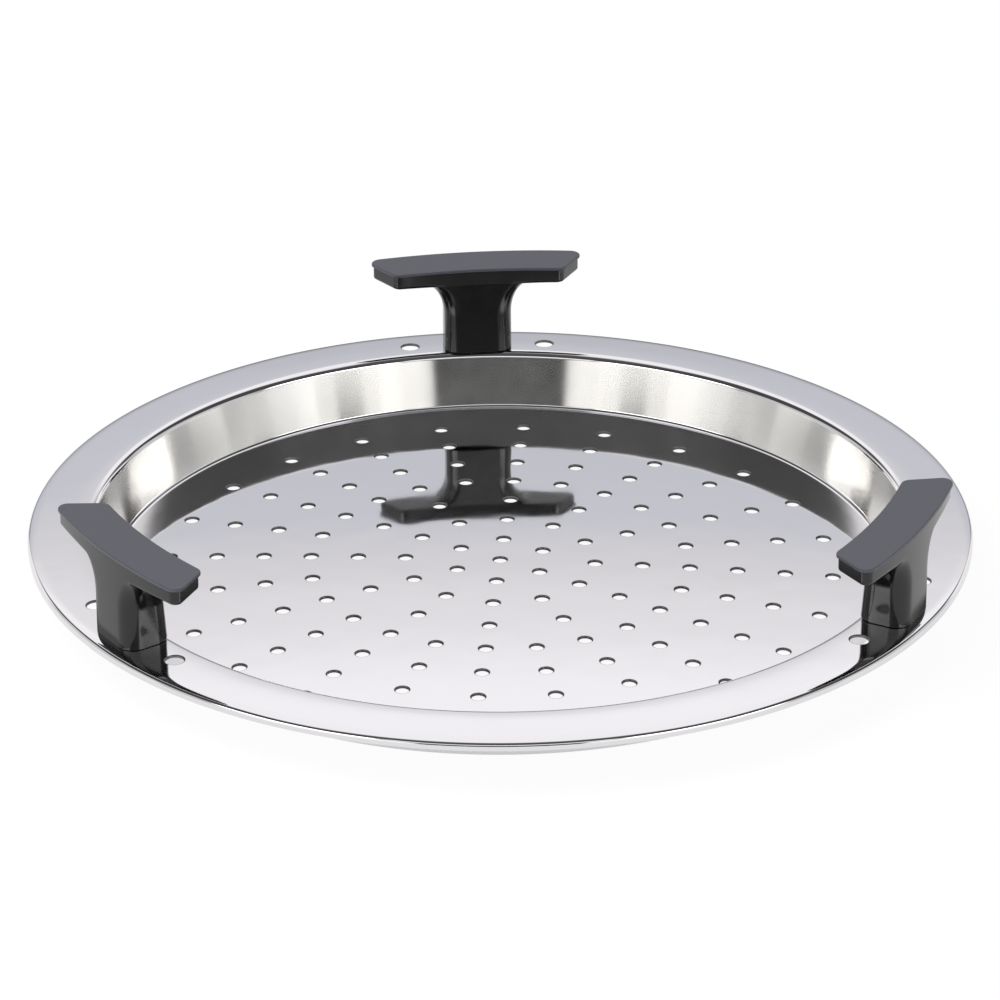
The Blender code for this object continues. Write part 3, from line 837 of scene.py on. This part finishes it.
def satinNylon():
    finish = capFinish
    made, tree, shader = newMaterial("satinMouldedNylon", finish["colour"], 0.0, finish["roughness"])
    shader.inputs["IOR"].default_value = finish["ior"]
    addRelief(tree, shader, finish["grain"], finish["grainDepth"], detail=2.0, strength=0.5)
    return made


def makeHandles():
    body = withBore(bodyMesh())
    finishMesh(body, mouldedPhenolic())
    cap = capMesh()
    finishMesh(cap, satinNylon())
    for side, place in handlePlaces.items():
        x, y = around(seatRadius, place["azimuth"])
        turned = Matrix.Rotation(math.radians(place["azimuth"] + place["twist"]), 4, "Z")
        seat = Matrix.Translation((x, y, flangeHeight(seatRadius))) @ turned
        for name, mesh, node, slot in (
                (side + "HandleBody", body, side + "_handle", "black_phenolic"),
                (side + "HandleCap", cap, side + "_handle_cap", "satin_charcoal_cap")):
            piece = bpy.data.objects.new(name, mesh)
            bpy.context.scene.collection.objects.link(piece)
            piece.matrix_world = seat
            weighted = piece.modifiers.new("weightedNormals", "WEIGHTED_NORMAL")
            weighted.keep_sharp = True
            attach(piece, "root")
            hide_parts(node)


makeHandles()
print("handles made")


# Fixings: turned brass, stamped and cold-headed stainless, and spring steel, on the CAD pieces. The eye
# gets fine tool marks round their sides, drawn coarser than the real ones.

fixingLooks = {                # spacing of the marks in millimetres
    "insert": {"name": "turnedBrass", "colour": "#c9a24e", "roughness": 0.3, "spacing": 0.5655},
    "washer": {"name": "stampedStainless", "colour": "#c4c4c6", "roughness": 0.28, "spacing": 0.9425},
    "spring_washer": {"name": "springSteel", "colour": "#9b9b9e", "roughness": 0.35, "spacing": 0.9425},
    "screw": {"name": "coldHeadedStainless", "colour": "#c4c4c6", "roughness": 0.22, "spacing": 1.3195},
}
toolMarks = {"repeat": 314.16, "uneven": 1.5, "detail": 2.0, "relief": 0.4, "depth": 0.00001}


def turnedMetal(look):  # a wave texture of scale 1 repeats every 314.16 mm
    made, tree, shader = newMaterial(look["name"], look["colour"], 1.0, look["roughness"])
    place = addNode(tree, "ShaderNodeTexCoord")
    marks = addNode(tree, "ShaderNodeTexWave",
                    {"wave_type": "BANDS", "bands_direction": "Z",
                     "Scale": toolMarks["repeat"] / look["spacing"],
                     "Distortion": toolMarks["uneven"], "Detail": toolMarks["detail"]},
                    {"Vector": place.outputs["Object"]})
    bump = addNode(tree, "ShaderNodeBump", {"Strength": toolMarks["relief"], "Distance": toolMarks["depth"]},
                   {"Height": marks.outputs["Fac"]})
    tree.links.new(bump.outputs["Normal"], shader.inputs["Normal"])
    return made


for piece, look in fixingLooks.items():
    metal = turnedMetal(look)
    for side in handlePlaces:
        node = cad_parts[side + "_handle_" + piece]
        node.data.materials.clear()
        node.data.materials.append(metal)
print("fixings finished")


# Floor: pale paint that glows white to the camera and in what is mirrored, and still takes the shadow; what
# it mirrors is darkened under the plate by a painted shadow

floorFinish = {
    "size": 8.0,
    "colour": "#ffffff",
    "glow": {"Is Camera Ray": 0.94, "Is Glossy Ray": 0.8, "Is Transmission Ray": 0.9},
    # painted shadow: the glow that the steel mirrors fades down to shadeLeast under the plate
    "shade": (0.104, 0.124),   # radii over which what is mirrored from under the plate grows darker
    "shadeLeast": 0.08,
}


def makeFloor():
    half = floorFinish["size"] / 2
    mesh = bpy.data.meshes.new("floor")
    corners = [(-half, -half, 0.0), (half, -half, 0.0), (half, half, 0.0), (-half, half, 0.0)]
    mesh.from_pydata(corners, [], [(0, 1, 2, 3)])
    floor = bpy.data.objects.new("floor", mesh)
    bpy.context.scene.collection.objects.link(floor)
    made = bpy.data.materials.new("paleFloor")
    made.use_nodes = True
    tree = made.node_tree
    tree.nodes.clear()
    colour = toLinear(floorFinish["colour"])
    paint = addNode(tree, "ShaderNodeBsdfDiffuse", {"Color": colour})
    glow = addNode(tree, "ShaderNodeEmission", {"Color": colour, "Strength": 1.0})
    path = addNode(tree, "ShaderNodeLightPath")
    place = addNode(tree, "ShaderNodeTexCoord")
    far = addNode(tree, "ShaderNodeVectorMath", {"operation": "LENGTH"}, {0: place.outputs["Object"]})
    shade = addNode(tree, "ShaderNodeMapRange", fading(floorFinish["shade"], floorFinish["shadeLeast"], 1.0),
                    {"Value": far.outputs["Value"]})
    share = None
    for ray, level in floorFinish["glow"].items():
        part = addNode(tree, "ShaderNodeMath", {"operation": "MULTIPLY", 1: level}, {0: path.outputs[ray]})
        # the mirrored glow takes the painted shadow under the plate
        if ray == "Is Glossy Ray":
            part = addNode(tree, "ShaderNodeMath", {"operation": "MULTIPLY"},
                           {0: part.outputs[0], 1: shade.outputs["Result"]})
        if share is not None:
            part = addNode(tree, "ShaderNodeMath", {"operation": "MAXIMUM"},
                           {0: share.outputs[0], 1: part.outputs[0]})
        share = part
    mix = addNode(tree, "ShaderNodeMixShader", None,
                  {0: share.outputs[0], 1: paint.outputs[0], 2: glow.outputs[0]})
    addNode(tree, "ShaderNodeOutputMaterial", None, {"Surface": mix.outputs[0]})
    mesh.materials.append(made)


# The studio, as the polished steel shows it: a bright low front, a dark gap above it, a bright screen from
# overhead down to the back, a grey room behind, and soft panels round about. Both sides are alike.

lilac = (1.0, 0.985, 1.005)
cool = (0.96, 0.975, 1.045)
warm = (1.0, 0.985, 0.96)
plain = (1.0, 1.0, 1.0)

archFront = [  # share of the way from the front horizon over the top to the back horizon, brightness, tint
    (0.00, 1.50, warm), (0.08, 1.40, warm), (0.13, 0.70, plain), (0.18, 0.30, plain), (0.22, 0.13, plain),
    (0.28, 0.08, plain),
]
studioLight = {
    "arch": archFront + [  # with the overhead screen
        (0.46, 0.12, plain), (0.53, 0.95, lilac), (0.58, 1.20, lilac), (0.80, 1.20, lilac),
        (0.82, 1.22, lilac), (0.843, 1.00, lilac), (0.855, 0.87, lilac), (0.867, 0.77, cool),
        (0.885, 0.74, cool), (0.90, 0.66, cool), (0.93, 0.48, cool), (0.96, 0.32, cool), (1.00, 0.12, plain),
    ],
    "archSides": archFront + [  # beyond the screen's ends
        (0.78, 0.08, plain), (0.88, 0.30, cool), (0.93, 0.40, cool), (0.96, 0.32, cool), (1.00, 0.12, plain),
    ],
    "screenEnd": (0.38, 0.50),     # sine of the angle to either side
    "round": [  # the low part: share of the way from the front round either side to the back
        (0.0, 1.70, warm), (0.30, 1.55, warm), (0.36, 1.15, plain), (0.41, 0.75, plain), (0.46, 0.70, plain),
        (0.475, 1.15, warm), (0.53, 1.10, warm), (0.545, 0.80, plain), (0.64, 0.90, plain),
        (0.80, 0.60, cool), (1.0, 0.40, cool),
    ],
    "lowTop": (0.16, 0.26),        # sine of the elevation over which the low part gives way to the arch
    "sideStart": (0.20, 0.30),     # shares of the way round over which the low part comes in
    "sideEnd": (0.74, 0.86),       # and goes out
    # from, to and edge as shares of the way round; bottom, top and edge as sines of the elevation;
    # brightness and tint; each covers what stands before it here
    "panels": [
        ((0.165, 0.40, 0.012), (0.35, 0.48, 0.03), 4.0, warm),       # softbox
        ((0.40, 0.72, 0.03), (0.20, 0.46, 0.06), 0.75, plain),       # side wall
        ((0.715, 0.835, 0.012), (-1.0, 0.33, 0.05), 1.15, warm),     # low screen behind
        ((-0.20, 0.16, 0.012), (0.48, 0.60, 0.03), 1.40, plain),     # screen over the camera
        ((-0.20, 0.12, 0.012), (0.255, 0.45, 0.03), 0.36, plain),    # grey round the camera
        ((-0.20, 0.105, 0.007), (-1.0, 0.255, 0.03), 0.01, cool),    # dark of the camera
    ],
    "strength": 4.0,   # of the whole world; its colours are divided by it, as a ramp's stop goes up to 1
}


def dimmed(level, tint):
    return tuple(level * channel / studioLight["strength"] for channel in tint) + (1.0,)


def addWindow(tree, value, rise, fallOff):  # 1 between two spans, fading to 0 over each
    up = addNode(tree, "ShaderNodeMapRange", fading(rise, 0.0, 1.0), {"Value": value})
    down = addNode(tree, "ShaderNodeMapRange", fading(fallOff, 1.0, 0.0), {"Value": value})
    return addNode(tree, "ShaderNodeMath", {"operation": "MULTIPLY"},
                   {0: up.outputs["Result"], 1: down.outputs["Result"]}).outputs[0]


def makeLight():
    light = studioLight
    world = bpy.data.worlds.new("studio")
    bpy.context.scene.world = world
    world.use_nodes = True
    tree = world.node_tree
    tree.nodes.clear()
    place = addNode(tree, "ShaderNodeTexCoord")
    parts = addNode(tree, "ShaderNodeSeparateXYZ", None, {"Vector": place.outputs["Generated"]}).outputs
    front = addNode(tree, "ShaderNodeMath", {"operation": "MULTIPLY", 1: -1.0}, {0: parts["Y"]}).outputs[0]
    height = addNode(tree, "ShaderNodeMath", {"operation": "MAXIMUM", 1: 0.0}, {0: parts["Z"]}).outputs[0]
    across = addNode(tree, "ShaderNodeMath", {"operation": "ABSOLUTE"}, {0: parts["X"]}).outputs[0]
    ways = []
    for rise in (height, across):   # shares of the way over the top, and of the way round either side
        angle = addNode(tree, "ShaderNodeMath", {"operation": "ARCTAN2"}, {0: rise, 1: front}).outputs[0]
        way = addNode(tree, "ShaderNodeMath", {"operation": "DIVIDE", 1: math.pi}, {0: angle})
        ways.append(way.outputs[0])
    over, about = ways

    colours = {}
    for name, way in (("arch", over), ("archSides", over), ("round", about)):
        ramp = addNode(tree, "ShaderNodeValToRGB", None, {"Fac": way})
        ramp.color_ramp.interpolation = "EASE"
        stops = ramp.color_ramp.elements
        stops.remove(stops[1])
        for index, (position, level, tint) in enumerate(light[name]):
            stop = stops[0] if index == 0 else stops.new(position)
            stop.position = position
            stop.color = dimmed(level, tint)
        colours[name] = ramp.outputs["Color"]

    beyond = addNode(tree, "ShaderNodeMapRange", fading(light["screenEnd"], 0.0, 1.0), {"Value": across})
    arch = addNode(tree, "ShaderNodeMix", {"data_type": "RGBA"},
                   {"Factor": beyond.outputs["Result"], 6: colours["arch"], 7: colours["archSides"]})
    low = addNode(tree, "ShaderNodeMapRange", fading(light["lowTop"], 1.0, 0.0), {"Value": height})
    sides = addWindow(tree, about, light["sideStart"], light["sideEnd"])
    lowShare = addNode(tree, "ShaderNodeMath", {"operation": "MULTIPLY"},
                       {0: low.outputs["Result"], 1: sides})
    seen = addNode(tree, "ShaderNodeMix", {"data_type": "RGBA"},
                   {"Factor": lowShare.outputs[0], 6: arch.outputs[2], 7: colours["round"]})
    for (start, end, edge), (bottom, top, soft), level, tint in light["panels"]:
        wide = addWindow(tree, about, (start - edge, start + edge), (end - edge, end + edge))
        tall = addWindow(tree, height, (bottom - soft, bottom), (top, top + soft))
        panelShare = addNode(tree, "ShaderNodeMath", {"operation": "MULTIPLY"}, {0: tall, 1: wide})
        seen = addNode(tree, "ShaderNodeMix", {"data_type": "RGBA", 7: dimmed(level, tint)},
                       {"Factor": panelShare.outputs[0], 6: seen.outputs[2]})
    sky = addNode(tree, "ShaderNodeBackground", {"Strength": light["strength"]}, {"Color": seen.outputs[2]})
    addNode(tree, "ShaderNodeOutputWorld", None, {"Surface": sky.outputs[0]})


softboxLamp = {"place": (-0.9, -0.5, 1.6), "target": (0.0, 0.0, 0.0), "width": 1.2, "height": 0.84,
               "power": 24.0}


def makeLamp(softbox):
    data = bpy.data.lights.new("softbox", "AREA")
    data.shape = "RECTANGLE"
    data.size = softbox["width"]
    data.size_y = softbox["height"]
    data.energy = softbox["power"]
    lamp = bpy.data.objects.new("softbox", data)
    bpy.context.scene.collection.objects.link(lamp)
    lamp.location = softbox["place"]
    aim = Vector(softbox["target"]) - Vector(softbox["place"])
    lamp.rotation_euler = aim.to_track_quat("-Z", "Y").to_euler()
    lamp.visible_glossy = False    # the studio's own panels are what the steel mirrors


makeFloor()
makeLight()
makeLamp(softboxLamp)
bpy.context.scene.view_settings.view_transform = "Standard"
print("floor and light ready")
